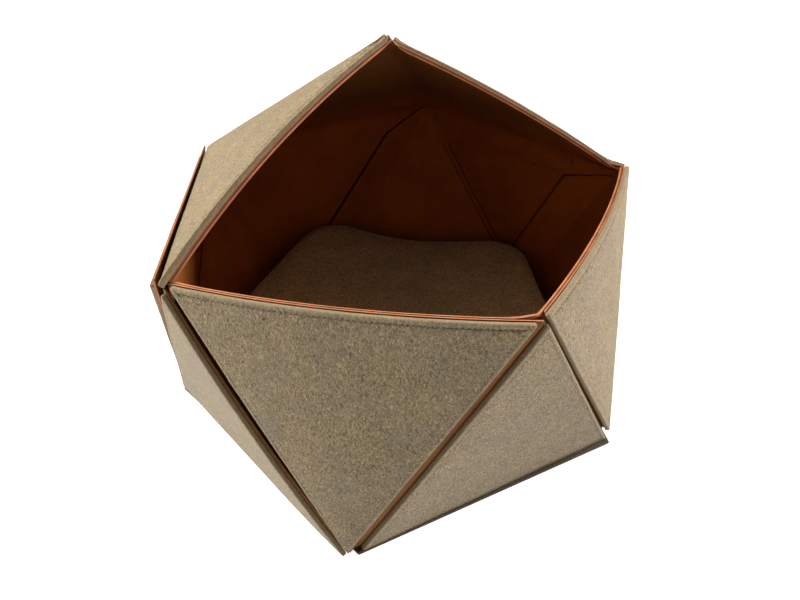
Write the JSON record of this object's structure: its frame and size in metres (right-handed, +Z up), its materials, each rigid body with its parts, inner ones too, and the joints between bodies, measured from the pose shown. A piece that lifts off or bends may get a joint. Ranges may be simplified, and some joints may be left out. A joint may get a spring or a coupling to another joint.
{
  "type": "cat house",
  "caption": "Faceted felt cat house with a tan leather backing and lining, an open upper front and a thick floor cushion.",
  "frame": {"origin": "on the ground under the middle of the pentagonal base", "axes": "+Z up; the open front faces -Y; +X to the right of somebody who looks into the mouth"},
  "size_m": [0.4458, 0.4574, 0.3609],
  "materials": {
    "grey_beige_felt": "matt mottled wool felt",
    "tan_leather": "soft satin tan leather",
    "beige_pile": "matt short pile"
  },
  "bodies": {
    "root": {"felt_front_left": "grey_beige_felt", "felt_front": "grey_beige_felt", "felt_front_right": "grey_beige_felt", "felt_right_front": "grey_beige_felt", "felt_right_back": "grey_beige_felt", "felt_back_right": "grey_beige_felt", "felt_back": "grey_beige_felt", "felt_back_left": "grey_beige_felt", "felt_left_back": "grey_beige_felt", "felt_left_front": "grey_beige_felt", "felt_hood_left": "grey_beige_felt", "felt_hood_back": "grey_beige_felt", "felt_hood_right": "grey_beige_felt", "backing_front_left": "tan_leather", "backing_front": "tan_leather", "backing_front_right": "tan_leather", "backing_right_front": "tan_leather", "backing_right_back": "tan_leather", "backing_back_right": "tan_leather", "backing_back": "tan_leather", "backing_back_left": "tan_leather", "backing_left_back": "tan_leather", "backing_left_front": "tan_leather", "backing_hood_left": "tan_leather", "backing_hood_back": "tan_leather", "backing_hood_right": "tan_leather", "base_felt": "grey_beige_felt", "base_backing": "tan_leather", "lining": "tan_leather", "cushion": "beige_pile"}
  },
  "joints": []
}
